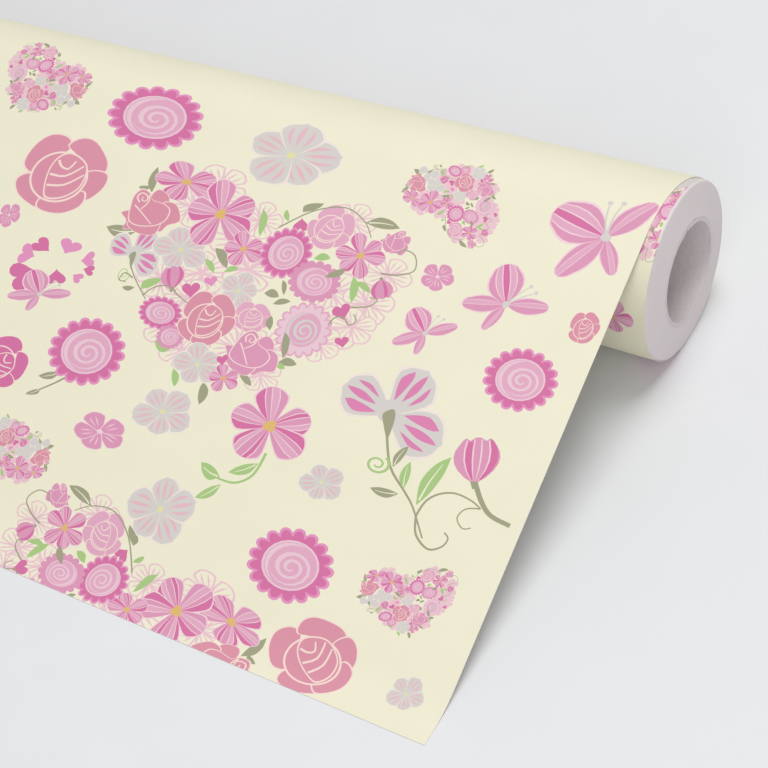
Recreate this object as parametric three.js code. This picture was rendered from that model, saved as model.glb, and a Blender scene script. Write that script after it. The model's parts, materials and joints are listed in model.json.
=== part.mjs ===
// A roll of printed wrapping paper lying on a table, with the free end of its sheet drawn out
// over the top of the roll and down to the table in front.
// Millimetres. X runs along the roll, -Y points to the drawn-out sheet, Z is up, and the
// table is z = 0. The origin is the middle of the footprint.

import * as THREE from 'three';

// ---- driving dimensions ----
const webWidth = 500;        // width of the paper, and length of the core
const rollRadius = 30.5;     // out to the printed face of the outermost turn
const sheetThickness = 0.3;
const turnClearance = 0.3;   // slack between the outermost turn and the windings below it
const boreRadius = 17;       // inside of the cardboard core

const takeOffAngle = radians(21.1);  // the sheet leaves the roll this far in front of its top
const landingRadius = 36;            // curve in which the sheet comes down onto the table
const flatLength = 5;                // the last of the sheet, flat on the table
const trackOff = 4.7;                // the outermost turn has run this far along the roll
const coneDepth = 1.5;               // the innermost turns stand this far out of the roll's end

const panelLength = 50;      // free sheet between two bending lines
const shoulderLength = 25;   // free sheet from the roll to the first bending line
const bendGap = 0.4;         // slit at a bending line

// ---- the core: three plies of board, each one strip wound as a spiral ----
const plyNames = ['core_inner_ply', 'core_middle_ply', 'core_outer_ply'];
const plyThickness = 0.4;
const glueGap = 0.1;
const plyPitch = 100;        // the strip moves along the core by this much in a turn
const buttGap = 0.5;         // slit between one turn of the strip and the next
const plyTip = 1;            // width at which the strip's cut corner ends
const coreStep = radians(10);

// ---- the tape that holds the paper's first turn on the core ----
const tapeThickness = 0.15;
const tapeHalfAngle = radians(20);
const tapeMargin = 10;       // bare core at each end of the tape
const tapeClearance = 0.3;

// ---- worked out ----
const turnStep = radians(5);
const corePlyDepth = plyThickness + glueGap;
const coreRadius = boreRadius + plyNames.length * corePlyDepth - glueGap;
const tapeInnerRadius = coreRadius + glueGap;
const tapeOuterRadius = tapeInnerRadius + tapeThickness;
const woundInnerRadius = coreRadius + glueGap + tapeClearance / 2 + tapeThickness / 2;
const recessRadius = tapeOuterRadius + tapeClearance;
const woundOuterRadius = rollRadius - sheetThickness - turnClearance;

// The outermost turn starts under the point where the sheet leaves the roll, goes once round
// by the back, and runs on as the free sheet.
const turnStartAngle = radians(-330);
const dropToTable = rollRadius * (1 + Math.cos(takeOffAngle)) - sheetThickness;
const landingDrop = landingRadius * (1 - Math.cos(takeOffAngle));
const slopeLength = (dropToTable - landingDrop) / Math.sin(takeOffAngle);
const landingLength = landingRadius * takeOffAngle;
const freeLength = slopeLength + landingLength + flatLength;

const rearBend = shoulderLength;
const middleBend = rearBend + panelLength;
const frontBend = middleBend + panelLength;

const axisToFront = rollRadius * Math.sin(takeOffAngle) + slopeLength * Math.cos(takeOffAngle)
  + landingRadius * Math.sin(takeOffAngle) + flatLength;
const rollAxis = new THREE.Vector3((trackOff - coneDepth) / 2, (axisToFront - rollRadius) / 2, rollRadius);

// ---- colours ----
const paperFinish = { color: 0xeeecd7, roughness: 0.6, metalness: 0 };
const edgeFinish = { color: 0xd2cccc, roughness: 0.85, metalness: 0 };
const boardFinish = { color: 0xc3bbb6, roughness: 0.9, metalness: 0 };
const tapeFinish = { color: 0xe6ddc0, roughness: 0.4, metalness: 0 };

function radians(degrees) {
  return THREE.MathUtils.degToRad(degrees);
}

// A point on a circle round the roll axis. The angle is 0 at the top and grows to the front.
function onRoll(radius, angle) {
  return [-radius * Math.sin(angle), radius * Math.cos(angle)];
}

function pointAt(x, [y, z]) {
  return new THREE.Vector3(x, y, z);
}

// One closed body through a row of four-cornered sections. A ring joins the last section to
// the first; anything else is closed by a flat end at each side.
function loft(sections, isRing = false) {
  const corners = 4;
  const points = sections.flat();
  const triangles = [];
  const spans = isRing ? sections.length : sections.length - 1;
  for (let span = 0; span < spans; span += 1) {
    const near = span * corners;
    const far = ((span + 1) % sections.length) * corners;
    for (let corner = 0; corner < corners; corner += 1) {
      const next = (corner + 1) % corners;
      triangles.push(near + corner, far + next, near + next);
      triangles.push(near + corner, far + corner, far + next);
    }
  }
  if (!isRing) {
    const last = (sections.length - 1) * corners;
    triangles.push(0, 1, 2, 0, 2, 3);
    triangles.push(last, last + 2, last + 1, last, last + 3, last + 2);
  }
  const geometry = new THREE.BufferGeometry().setFromPoints(points);
  geometry.setIndex(triangles);
  const faceted = geometry.toNonIndexed();
  faceted.computeVertexNormals();
  return faceted;
}

// Four corners of a strip of paper or board, from its outer face to its inner one.
function stripSection(outer, inner, left, right) {
  return [pointAt(left, outer), pointAt(right, outer), pointAt(right, inner), pointAt(left, inner)];
}

// ---- the sheet ----

// How far the outermost turn has run along the roll at an angle round it.
function trackAt(angle) {
  const share = (angle - turnStartAngle) / (takeOffAngle - turnStartAngle);
  return trackOff * Math.min(share, 1) ** 2;
}

function sheetSection(outer, inner, track) {
  return stripSection(outer, inner, -webWidth / 2 - track, webWidth / 2 - track);
}

// A section where two facets of the turn meet, each of them tangent to the turn's own radius.
function turnSection(angleBefore, angleAfter) {
  const angle = (angleBefore + angleAfter) / 2;
  const stretch = 1 / Math.cos((angleAfter - angleBefore) / 2);
  const outer = onRoll(rollRadius * stretch, angle);
  const inner = onRoll((rollRadius - sheetThickness) * stretch, angle);
  return sheetSection(outer, inner, trackAt(angle));
}

// A section of the free sheet at a length from the point where it leaves the roll.
function freeSection(length) {
  const [startY, startZ] = onRoll(rollRadius, takeOffAngle);
  const onSlope = Math.min(length, slopeLength);
  const onLanding = THREE.MathUtils.clamp(length - slopeLength, 0, landingLength);
  const onFlat = Math.max(length - slopeLength - landingLength, 0);
  const angle = takeOffAngle - onLanding / landingRadius;
  const y = startY - onSlope * Math.cos(takeOffAngle)
    - landingRadius * (Math.sin(takeOffAngle) - Math.sin(angle)) - onFlat;
  const z = startZ - onSlope * Math.sin(takeOffAngle)
    - landingRadius * (Math.cos(angle) - Math.cos(takeOffAngle));
  const outer = [y, z];
  const inner = [y + sheetThickness * Math.sin(angle), z - sheetThickness * Math.cos(angle)];
  return sheetSection(outer, inner, trackOff);
}

function outerTurn() {
  const sections = [turnSection(turnStartAngle, turnStartAngle)];
  let before = turnStartAngle;
  for (let after = before + turnStep; after < takeOffAngle - turnStep; after += turnStep) {
    sections.push(turnSection(before, after));
    before = after;
  }
  sections.push(turnSection(before, takeOffAngle));
  sections.push(freeSection(rearBend - bendGap / 2));
  return loft(sections);
}

function flatPanel(bend) {
  return loft([freeSection(bend + bendGap / 2), freeSection(bend + panelLength - bendGap / 2)]);
}

function frontPanel() {
  const landingFacets = 6;
  const sections = [freeSection(frontBend + bendGap / 2)];
  for (let facet = 0; facet <= landingFacets; facet += 1) {
    sections.push(freeSection(slopeLength + (landingLength * facet) / landingFacets));
  }
  sections.push(freeSection(freeLength));
  return loft(sections);
}

// ---- the windings ----

// The turns are packed tight and step outwards evenly from the roll's rim to the core.
function coneAt(radius) {
  return (coneDepth * (woundOuterRadius - radius)) / (woundOuterRadius - woundInnerRadius);
}

function woundPaper() {
  const sections = [];
  const facets = Math.round((2 * Math.PI) / turnStep);
  for (let facet = 0; facet < facets; facet += 1) {
    const angle = facet * turnStep;
    const overTape = Math.min(angle, 2 * Math.PI - angle) < tapeHalfAngle + 2 * turnStep;
    const innerRadius = overTape ? recessRadius : woundInnerRadius;
    const outer = onRoll(woundOuterRadius, angle);
    const inner = onRoll(innerRadius, angle);
    const innerShift = coneAt(innerRadius);
    sections.push([
      pointAt(-webWidth / 2, outer),
      pointAt(webWidth / 2, outer),
      pointAt(webWidth / 2 + innerShift, inner),
      pointAt(-webWidth / 2 + innerShift, inner),
    ]);
  }
  return loft(sections, true);
}

// ---- the core ----

// One strip wound as a spiral and cut off square at both ends of the core.
function corePly(index) {
  const innerRadius = boreRadius + index * corePlyDepth;
  const stripWidth = plyPitch - buttGap;
  const stagger = (index * plyPitch) / plyNames.length;
  const advance = (plyPitch * coreStep) / (2 * Math.PI);
  const coreLeft = -webWidth / 2 + coneDepth;
  const coreRight = webWidth / 2 + coneDepth;
  const steps = Math.ceil((webWidth + stagger + plyPitch) / advance);
  const sections = [];
  for (let step = 0; step <= steps; step += 1) {
    const stripLeft = coreLeft - stagger - stripWidth + step * advance;
    const left = Math.max(stripLeft, coreLeft);
    const right = Math.min(stripLeft + stripWidth, coreRight);
    if (right - left >= plyTip) {
      const outer = onRoll(innerRadius + plyThickness, step * coreStep);
      const inner = onRoll(innerRadius, step * coreStep);
      sections.push(stripSection(outer, inner, left, right));
    }
  }
  return loft(sections);
}

function startTape() {
  const left = -webWidth / 2 + coneDepth + tapeMargin;
  const right = webWidth / 2 + coneDepth - tapeMargin;
  const sections = [];
  for (let angle = -tapeHalfAngle; angle < tapeHalfAngle + coreStep / 2; angle += coreStep) {
    sections.push(stripSection(onRoll(tapeOuterRadius, angle), onRoll(tapeInnerRadius, angle), left, right));
  }
  return loft(sections);
}

// ---- the assembly ----

const roll = new THREE.Group();
roll.position.copy(rollAxis);

function addPiece(name, geometry, finish) {
  const piece = new THREE.Mesh(geometry, new THREE.MeshStandardMaterial(finish));
  piece.name = name;
  roll.add(piece);
}

plyNames.forEach((name, index) => addPiece(name, corePly(index), boardFinish));
addPiece('start_tape', startTape(), tapeFinish);
addPiece('wound_paper', woundPaper(), edgeFinish);
addPiece('outer_turn', outerTurn(), paperFinish);
addPiece('sheet_rear', flatPanel(rearBend), paperFinish);
addPiece('sheet_middle', flatPanel(middleBend), paperFinish);
addPiece('sheet_front', frontPanel(), paperFinish);

const assembly = new THREE.Group();
assembly.add(roll);

export default assembly;
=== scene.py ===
"""Looks of the wrapping paper roll: smooth printed paper, wound windings and core, floor, light, camera.

Shapes are worked out in millimetres and become metres when a mesh is made.
The print is drawn flat on the unrolled paper. A place on it is a complex number u + vi:
u is the distance from the paper's right-hand edge (negative to the left), and v is the distance
along the paper, 0 at the top of the roll and growing towards the free end.
"""

import cmath
from functools import partial
import json
import math
import random

import bmesh
import bpy
from mathutils import Matrix, Vector
from mathutils.geometry import delaunay_2d_cdt


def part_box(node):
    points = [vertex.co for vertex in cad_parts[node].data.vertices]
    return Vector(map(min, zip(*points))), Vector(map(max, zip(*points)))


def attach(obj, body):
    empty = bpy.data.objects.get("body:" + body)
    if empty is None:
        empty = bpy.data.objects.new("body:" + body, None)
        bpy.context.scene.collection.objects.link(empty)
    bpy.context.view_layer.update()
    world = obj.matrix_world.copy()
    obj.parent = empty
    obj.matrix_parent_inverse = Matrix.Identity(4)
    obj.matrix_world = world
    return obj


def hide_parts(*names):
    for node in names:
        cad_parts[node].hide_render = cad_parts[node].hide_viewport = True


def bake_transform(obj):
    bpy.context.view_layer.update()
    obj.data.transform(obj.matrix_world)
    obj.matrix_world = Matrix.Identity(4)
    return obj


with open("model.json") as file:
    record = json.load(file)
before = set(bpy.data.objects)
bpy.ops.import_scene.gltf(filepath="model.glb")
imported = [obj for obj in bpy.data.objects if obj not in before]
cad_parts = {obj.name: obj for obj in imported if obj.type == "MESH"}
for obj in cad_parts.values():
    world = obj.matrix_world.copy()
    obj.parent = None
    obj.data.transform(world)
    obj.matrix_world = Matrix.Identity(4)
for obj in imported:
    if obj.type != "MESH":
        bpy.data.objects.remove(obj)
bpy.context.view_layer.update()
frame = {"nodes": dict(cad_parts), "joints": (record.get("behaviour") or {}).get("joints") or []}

MM = 0.001

# ---- Sizes, in millimetres ----


def box_mm(node):
    low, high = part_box(node)
    return low / MM, high / MM


def joint_place(name):
    joint = next(joint for joint in frame["joints"] if joint["name"] == name)
    return Vector(joint["pos_m"]) / MM


TURN_LOW, TURN_HIGH = box_mm("outer_turn")
CORE_LOW, CORE_HIGH = box_mm("core_inner_ply")
WOUND_LOW = box_mm("wound_paper")[0]
SHEET_HIGH = box_mm("sheet_front")[1]

ROLL_RADIUS = (TURN_HIGH.z - TURN_LOW.z) / 2
ROLL_AXIS = joint_place("roll_turn")
WEB_WIDTH = CORE_HIGH.x - CORE_LOW.x
RIM_RIGHT = WOUND_LOW.x + WEB_WIDTH
CONE_DEPTH = CORE_HIGH.x - RIM_RIGHT
TRACK_OFF = RIM_RIGHT - SHEET_HIGH.x

REAR_BEND = joint_place("sheet_lift")
MIDDLE_BEND = joint_place("middle_bend")
PANEL_LENGTH = (MIDDLE_BEND - REAR_BEND).length
TAKE_OFF = math.atan2(REAR_BEND.z - MIDDLE_BEND.z, REAR_BEND.y - MIDDLE_BEND.y)
TURN_START = math.radians(-330)

PAPER_THICKNESS = 0.3
SLACK = 0.06                      # between the windings and the outermost turn
WOUND_RADIUS = ROLL_RADIUS - PAPER_THICKNESS - SLACK
START_THICKNESS = 0.02            # the outermost turn is drawn this thin where it begins,
THINNED_LENGTH = 26               # and reaches its full thickness this far on
PEEL_LENGTH = 2                   # a lifted sheet starts to bend this far from the roll
LANDING_RADIUS = 36               # of the bend where the sheet meets the table
FLAT_LENGTH = 5                   # of the sheet's end, flat on the table

BORE_RADIUS = 17
PLY_COUNT = 3                     # strips of board, each wound over the last
PLY_THICKNESS = 0.48
PLY_STEP = 0.5                    # from one ply's inner face to the next one's
PLY_PITCH = 100                   # how far a ply moves along the core in one turn
BUTT_GAP = 0.5                    # between the edges of one ply
LEAST_STRIP = 1                   # a ply's strip begins and ends where this much of it is left

WOUND_INNER_RADIUS = 18.53
RECESS_RADIUS = 18.72             # the windings' inner radius over the tape
RECESS_HALF_ANGLE = math.radians(30)
RECESS_SLOPE = math.radians(6)    # over which the recess begins and ends
ROUNDED_EDGE = 0.8                # radius of the windings' edge
HALF_SEAM = 0.2                   # half the plain gap between the two ends of the windings' print
RING_COUNT = 60                   # rings on the end face
RIDGE_HEIGHT = 0.02               # of every other ring
RIPPLE_HEIGHT = 0.012             # how far any ring stands in or out at random
RIPPLE_SEED = 7

LANDING_DROP = LANDING_RADIUS * (1 - math.cos(TAKE_OFF))
DROP_TO_TABLE = ROLL_RADIUS * (1 + math.cos(TAKE_OFF)) - PAPER_THICKNESS
SLOPE_LENGTH = (DROP_TO_TABLE - LANDING_DROP) / math.sin(TAKE_OFF)
LANDING_LENGTH = LANDING_RADIUS * TAKE_OFF

TURN_FIRST = ROLL_RADIUS * TURN_START      # where the outermost turn begins, along the paper
TURN_SPLIT = ROLL_RADIUS * math.radians(-150)
FREE_FIRST = ROLL_RADIUS * TAKE_OFF        # where the free sheet begins
REAR_END = FREE_FIRST + PANEL_LENGTH
MIDDLE_END = REAR_END + PANEL_LENGTH
SLOPE_END = FREE_FIRST + SLOPE_LENGTH
LANDING_END = SLOPE_END + LANDING_LENGTH
WEB_END = LANDING_END + FLAT_LENGTH

WOUND_STEP = math.radians(3)               # between lines across the windings and the core
ROLL_STEP = ROLL_RADIUS * math.radians(5)  # between lines across the outermost turn
SLOPE_STEP = 4                             # between lines across the sloping sheet,
LANDING_STEP = 1                           # across the bend where it lands,
FLAT_STEP = 2.5                            # and across its flat end
VISIBLE_STRIP = 16                         # how much of the windings' print is drawn, from the right

# ---- Where a point of the unrolled paper lies ----


def around_roll(radius, angle):
    """y and z at an angle round the roll: 0 at the top, growing towards the free sheet."""
    y = ROLL_AXIS.y - radius * math.sin(angle)
    z = ROLL_AXIS.z + radius * math.cos(angle)
    return y, z


def on_free_sheet(length, depth):
    """y and z at a length from where the sheet leaves the roll, below its printed face."""
    y, z = around_roll(ROLL_RADIUS, TAKE_OFF)
    on_slope = min(length, SLOPE_LENGTH)
    on_landing = min(max(length - SLOPE_LENGTH, 0), LANDING_LENGTH)
    on_flat = max(length - SLOPE_LENGTH - LANDING_LENGTH, 0)
    slope = TAKE_OFF - on_landing / LANDING_RADIUS
    y -= on_slope * math.cos(TAKE_OFF) + on_flat
    y -= LANDING_RADIUS * (math.sin(TAKE_OFF) - math.sin(slope))
    z -= on_slope * math.sin(TAKE_OFF)
    z -= LANDING_RADIUS * (math.cos(slope) - math.cos(TAKE_OFF))
    return y + depth * math.sin(slope), z - depth * math.cos(slope)


def on_sheet(place, depth):
    """A point of the outermost turn or the free sheet, at a depth below the printed face."""
    length = place.imag - FREE_FIRST
    share = min((place.imag - TURN_FIRST) / (FREE_FIRST - TURN_FIRST), 1)
    x = RIM_RIGHT - TRACK_OFF * share ** 2 + place.real
    if length < 0:
        thinned = max(0, 1 - (place.imag - TURN_FIRST) / THINNED_LENGTH)
        least_depth = (PAPER_THICKNESS - START_THICKNESS) * thinned
        y, z = around_roll(ROLL_RADIUS - max(depth, least_depth), place.imag / ROLL_RADIUS)
    else:
        y, z = on_free_sheet(length, depth)
    return x, y, z


def wound_angle(v):
    return TURN_START + (v - TURN_FIRST) / WOUND_RADIUS


def on_windings(place, depth):
    y, z = around_roll(WOUND_RADIUS - depth, wound_angle(place.imag))
    return RIM_RIGHT + place.real, y, z


# ---- Inks and small drawing tools ----

# Red, green and blue from 0 to 255.
INKS = {
    "cream": (237, 233, 208),
    "halo": (238, 226, 216),
    "line": (238, 207, 214),
    "petal_line": (243, 218, 208),
    "pale_pink": (231, 198, 210),
    "faint_pink": (232, 195, 204),
    "light_pink": (224, 169, 193),
    "mid_pink": (218, 151, 182),
    "pink_rim": (225, 147, 190),
    "streak_pink": (219, 130, 176),
    "deep_pink": (212, 114, 163),
    "salmon": (217, 146, 165),
    "blush": (227, 184, 193),
    "grey": (212, 207, 202),
    "lemon": (226, 221, 165),
    "yolk": (222, 184, 112),
    "green": (168, 199, 130),
    "olive": (160, 160, 131),
}
FINE_WIDTH = 9    # a motif narrower than this, in mm, leaves out its finest lines


def linear(channel):
    """An sRGB value from 0 to 255 as linear light."""
    share = channel / 255
    return share / 12.92 if share <= 0.04045 else ((share + 0.055) / 1.055) ** 2.4


def colour(name):
    return [linear(channel) for channel in INKS[name]] + [1]


def spread(first, last, count):
    """Evenly spaced numbers, both ends included."""
    return [first + (last - first) * i / (count - 1) for i in range(count)]


def direction(degrees):
    return cmath.rect(1, math.radians(degrees))


def circle(centre, radius, count=16):
    return [centre + radius * direction(360 * i / count) for i in range(count)]


def spline(knots, closed=False, steps=4):
    """Points along a smooth curve through the knots."""
    count = len(knots)
    points = []
    for i in range(count if closed else count - 1):
        if closed:
            before, start, end, after = (knots[(i + k) % count] for k in (-1, 0, 1, 2))
        else:
            start, end = knots[i], knots[i + 1]
            before, after = knots[max(i - 1, 0)], knots[min(i + 2, count - 1)]
        for t in spread(0, 1, steps + 1)[:-1]:
            points.append(0.5 * (2 * start + (end - before) * t
                                 + (2 * before - 5 * start + 4 * end - after) * t ** 2
                                 + (3 * start - before - 3 * end + after) * t ** 3))
    return points if closed else points + [knots[-1]]


def stroke(path, widths):
    """The outline of a line drawn along a path, with a width for each of its points."""
    last = len(path) - 1
    left = []
    right = []
    for i, (point, width) in enumerate(zip(path, widths)):
        ahead = path[min(i + 1, last)] - path[max(i - 1, 0)]
        side = 1j * ahead / abs(ahead) * width / 2
        left.append(point + side)
        right.append(point - side)
    return left + right[::-1]


def ribbon(path, width, end_share):
    """The outline of a line whose width ends at end_share of what it starts at."""
    return stroke(path, spread(width, width * end_share, len(path)))


def moved(shapes, turn=0, scale=1, to=0, mirrored=False):
    """Shapes mirrored across their own upright line, then scaled, turned and moved."""
    factor = scale * direction(turn)
    result = []
    for ink, outline in shapes:
        points = [point.conjugate() for point in outline] if mirrored else outline
        result.append((ink, [to + factor * point for point in points]))
    return result


def fitted(shapes, centre, width, height, turn):
    """Shapes turned, then stretched to fill a box of that width and height round the centre."""
    turned = moved(shapes, turn)
    across = [point.real for _, outline in turned for point in outline]
    along = [point.imag for _, outline in turned for point in outline]
    middle = complex(min(across) + max(across), min(along) + max(along)) / 2
    wide = width / (max(across) - min(across))
    high = height / (max(along) - min(along))
    result = []
    for ink, outline in turned:
        points = [centre + complex((p - middle).real * wide, (p - middle).imag * high) for p in outline]
        result.append((ink, points))
    return result


# ---- Motifs. Each is drawn about the origin, about 2 units wide, with its top towards +u. ----


def dome(across):
    """The height of a round tip: 1 in its middle, and 0.2 at its sides, where across is -1 or 1."""
    return math.sqrt(1 - (0.98 * across) ** 2)


def petal_point(along, across, width, heading, length=1.0, wave=0.0, widest=0.66):
    """A point of a petal: along is 0 at the flower's centre and 1 at the tip, across is -1 to 1.

    The petal is widest at that share of its length, and wave is how deep its tip's edge ripples.
    """
    tip = widest + (1 - widest) * dome(across)
    reach = along * tip * (1 - wave * math.sin(4.5 * across + 0.6) ** 2)
    if reach < widest:
        half = width * (reach / widest) ** 0.75
    else:
        half = width * (1 - 0.15 * ((reach - widest) / (1 - widest)) ** 2)
    return length * complex(reach, across * half) * direction(heading)


def wing_point(along, across, width, heading, length=1.0):
    """A point of an egg-shaped wing: along is 0 at its base and 1 at its blunt tip."""
    reach = along * (0.78 + 0.22 * dome(across))
    half = width * math.sin(0.74 * math.pi * along ** 0.9)
    return length * complex(reach, across * half) * direction(heading)


def petal_patch(place, along, across, steps=5, tip_steps=5):
    """The outline of the part of a petal between two shares along it and two across it."""
    near, far = along
    left, right = across
    out = [place(t, left) for t in spread(near, far, steps)]
    turns = spread(math.asin(left), math.asin(right), tip_steps)
    tip = [place(far, math.sin(turn)) for turn in turns[1:-1]]
    back = [place(t, right) for t in spread(far, near, steps)]
    return out + tip + (back if near > 0 else back[:-1])


def petal_stripe(place, along, middle, half, steps=6):
    """A streak that tapers to a point at both ends, for a petal's dark or pale lines."""
    out = []
    back = []
    for k in range(1, steps):
        swell = half * math.sin(math.pi * k / steps) ** 0.7
        share = along[0] + (along[1] - along[0]) * k / steps
        out.append(place(share, middle - swell))
        back.append(place(share, middle + swell))
    return [place(along[0], middle)] + out + [place(along[1], middle)] + back[::-1]


NARROW_BANDS = (("mid_pink", -1), ("light_pink", -0.5), ("mid_pink", 0.0), ("deep_pink", 0.42))
BROAD_BANDS = (("mid_pink", -1), ("deep_pink", -0.6), ("mid_pink", -0.25), ("light_pink", 0.3),
               ("deep_pink", 0.68))
WING_BANDS = (("mid_pink", -1), ("light_pink", -0.6), ("deep_pink", -0.2), ("light_pink", 0.25),
              ("mid_pink", 0.65))
SLIM_WING_BANDS = (("mid_pink", -1), ("light_pink", -0.5), ("mid_pink", 0.1))


def banded_petal(heading, width, length, bands, swap=1, fine=True, point=petal_point):
    """A petal or wing with lengthwise bands of ink, a pale rim, and pale lines between the bands."""
    rim_place = partial(point, width=width * 1.07 + 0.012, heading=heading, length=length * 1.02)

    def place(along, across):
        return point(along, across * swap, width, heading, length)

    if point is wing_point:
        steps, tip_steps = (7, 6) if fine else (3, 6)
    else:
        steps, tip_steps = (6, 10) if fine else (3, 7)
    shapes = [("line", petal_patch(rim_place, (0, 1), (-1, 1), steps, tip_steps))]
    shapes.append(("light_pink", petal_patch(place, (0, 1), (-1, 1), steps, tip_steps)))
    ends = [start for _, start in bands[1:]] + [1]
    for (ink, start), end in zip(bands, ends):
        if ink != "light_pink":
            shapes.append((ink, petal_patch(place, (0.08, 1), (start, end), steps, 4)))
    if fine:
        for _, start in bands[1:]:
            shapes.append(("line", petal_patch(place, (0.1, 0.985), (start - 0.035, start + 0.035), 5, 2)))
    return shapes


def striped_flower(fine=True, petals=5):
    """A flower of striped petals round a small yellow centre."""
    width = {5: 0.37, 6: 0.31}[petals]
    shapes = []
    for i in range(petals):
        length = 1 - 0.08 * (i % 3 == 1)
        heading = 360 * i / petals + 8 * math.sin(2.3 * i)
        bands = BROAD_BANDS if fine and i % 2 else NARROW_BANDS
        shapes += banded_petal(heading, width, length, bands, 1 if i % 2 else -1, fine)
    centre = spline([0.13 * (1 + 0.3 * (k % 2)) * direction(51 * k) for k in range(7)], True, 2)
    shapes.append(("yolk", centre))
    return shapes


striped_flower_of_six = partial(striped_flower, petals=6)

# A grey petal's streaks: how far across, where each starts and ends along it, and half its width.
THIN_STREAKS = ((-0.56, 0.3, 0.9, 0.1), (-0.05, 0.25, 0.95, 0.12), (0.48, 0.3, 0.88, 0.1))
BOLD_STREAKS = ((-0.54, 0.24, 0.92, 0.25), (0.04, 0.3, 0.95, 0.18), (0.55, 0.34, 0.88, 0.12))


def grey_petal(heading, width, length, streak, streaks, fine=True):
    """A broad grey petal with a wavy tip and pink streaks."""
    wavy_point = partial(petal_point, heading=heading, wave=0.04, widest=0.58)
    place = partial(wavy_point, width=width, length=length)
    rim_place = partial(wavy_point, width=width * 1.06 + 0.02, length=length * 1.03)
    steps = 6 if fine else 3
    shapes = [("halo", petal_patch(rim_place, (0, 1), (-1, 1), steps, 2 * steps))]
    shapes.append(("grey", petal_patch(place, (0, 1), (-1, 1), steps, 2 * steps)))
    if fine:
        for across, near, far, half in streaks:
            shapes.append((streak, petal_stripe(place, (near, far), across, half)))
    return shapes


def grey_flower(fine=True):
    """Five broad grey petals with pink streaks."""
    shapes = []
    for i in range(5):
        heading = 72 * i + 7 * math.sin(1.9 * i + 1)
        length = 1 - 0.12 * (i % 2)
        shapes += grey_petal(heading, 0.43, length, "blush", THIN_STREAKS, fine)
    shapes.append(("lemon", circle(0, 0.09, 8)))
    return shapes


def plain_flower(fine=True):
    """Five plain round petals with a pale centre and hair lines."""
    shapes = []
    for i in range(5):
        heading = 72 * i + 8 * math.sin(2 * i)
        place = partial(petal_point, width=0.42, heading=heading, wave=0.04)
        petal = petal_patch(place, (0, 1), (-1, 1), 6, 9)
        shapes.append(("line", resized(petal, 1.1)))
        shapes.append(("mid_pink", petal))
        if fine:
            for across in (-0.4, 0.15):
                shapes.append(("line", petal_stripe(place, (0.25, 0.8), across, 0.07, 4)))
    shapes.append(("line", circle(0, 0.12, 8)))
    return shapes


def resized(outline, share):
    """An outline drawn out from its own middle, or in towards it."""
    middle = sum(outline) / len(outline)
    return [middle + (point - middle) * share for point in outline]


def outline_flower(fine=True):
    """A flower drawn only as a pale line, which fills the gaps behind the others."""
    shapes = []
    for i in range(5):
        place = partial(petal_point, width=0.42, heading=72 * i)
        petal = petal_patch(place, (0, 1), (-1, 1), 3, 6)
        shapes.append(("faint_pink", petal))
        if fine:
            shapes.append(("cream", resized(petal, 0.8)))
            for across in (-0.3, 0.3):
                shapes.append(("faint_pink", petal_stripe(place, (0.1, 0.86), across, 0.12, 3)))
    shapes.append(("faint_pink", circle(0, 0.14, 8)))
    return shapes


def scalloped_ring(lobes, valley, peak, power, count):
    """A closed curve with evenly spaced round lobes."""
    points = []
    for i in range(lobes * count):
        lift = abs(math.sin(math.pi * i / count)) ** power
        points.append((valley + (peak - valley) * lift) * direction(360 * i / (lobes * count)))
    return points


def swirl(radius=0.5, turns=2.4, width=0.075, wide_side=180):
    """A spiral band that is widest on one side."""
    path = []
    widths = []
    for share in spread(0, 1, int(turns * 14) + 1):
        angle = 360 * turns * share
        path.append(radius * (0.12 + 0.88 * share) * direction(angle))
        bulge = max(0.0, math.cos(math.radians(angle - wide_side))) ** 2
        widths.append(width * min(1, 6 * (1 - share), 0.3 + 4 * share) * (1 + 0.9 * bulge * share))
    return stroke(path, widths)


def scalloped_flower(rim, lobes, band, fine=True):
    """A round flower with a scalloped rim and a spiral in its disc."""
    count = 5 if fine else 3
    shapes = [(rim, scalloped_ring(17, 0.86, 1.0, 0.6, count))]
    shapes.append((lobes, scalloped_ring(17, 0.74, 0.93, 0.8, count)))
    shapes.append(("pale_pink", circle(0, 0.66, 22)))
    shapes.append(("light_pink", circle(0, 0.61, 22)))
    if fine:
        crescent = [0.585 * direction(a) for a in spread(92, 268, 12)]
        crescent += [0.12 + 0.6 * direction(a) for a in spread(256, 104, 10)]
        shapes.append((band, crescent))
    shapes += moved([(band, swirl())], to=0.05 + 0.03j)
    return shapes


dark_scalloped_flower = partial(scalloped_flower, "pink_rim", "deep_pink", "pale_pink")
mid_scalloped_flower = partial(scalloped_flower, "mid_pink", "mid_pink", "pale_pink")
pale_scalloped_flower = partial(scalloped_flower, "light_pink", "pale_pink", "grey")


def upright(knots):
    """Knots given as (right, up) turned into places whose top is towards +u."""
    return [complex(up, right) for right, up in knots]


def petals_with_lines(petals, lines, ink, gap, fine):
    """Closed shapes laid over each other with a pale gap round each, and pale lines on top."""
    shapes = []
    for knots in petals:
        petal = spline(upright(knots), True, 4 if fine else 2)
        shapes.append(("petal_line", resized(petal, gap)))
        shapes.append((ink, petal))
    for knots in lines:
        shapes.append(("petal_line", ribbon(spline(upright(knots), False, 3), 0.06, 0.6)))
    return shapes


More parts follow.
